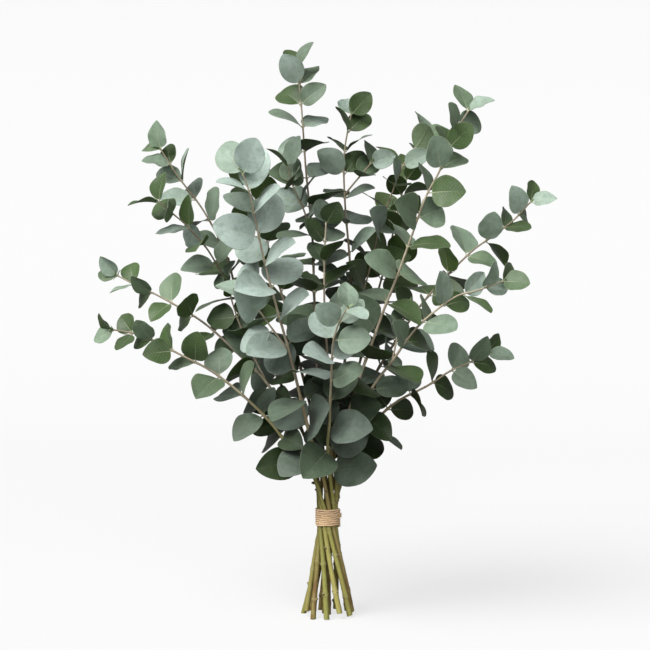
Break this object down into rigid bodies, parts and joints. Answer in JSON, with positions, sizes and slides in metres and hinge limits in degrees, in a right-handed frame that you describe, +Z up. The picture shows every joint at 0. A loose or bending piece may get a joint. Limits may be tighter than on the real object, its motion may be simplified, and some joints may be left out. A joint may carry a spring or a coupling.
{
  "type": "tied bunch of eucalyptus foliage stems",
  "caption": "Bunch of leafy eucalyptus stems with round grey-green leaves in opposite pairs, crossed in a spiral and tied with jute twine, standing on its cut ends.",
  "frame": {"origin": "centre of the inner stem's cut end, on the surface that the bunch stands on", "axes": "+Z up along the bunch, -Y towards the front of the bunch, +X to its right"},
  "size_m": [0.4878, 0.2897, 0.6018],
  "materials": {
    "leafy_stem": "satin",
    "leaf": "satin",
    "stem": "satin",
    "twine": "matte"
  },
  "bodies": {
    "root": {"front_left_stem": "leafy_stem", "front_stem": "leafy_stem", "right_tall_stem": "leafy_stem", "right_middle_stem": "leafy_stem", "right_low_stem": "leafy_stem", "right_high_stem": "leafy_stem", "back_right_stem": "leafy_stem", "back_left_stem": "leafy_stem", "left_tall_stem": "leafy_stem", "left_middle_stem": "leafy_stem", "left_low_stem": "leafy_stem", "crown_stem": "leafy_stem", "back_crown_stem": "leafy_stem", "inner_stem": "leafy_stem", "twine_band": "twine"}
  },
  "joints": []
}
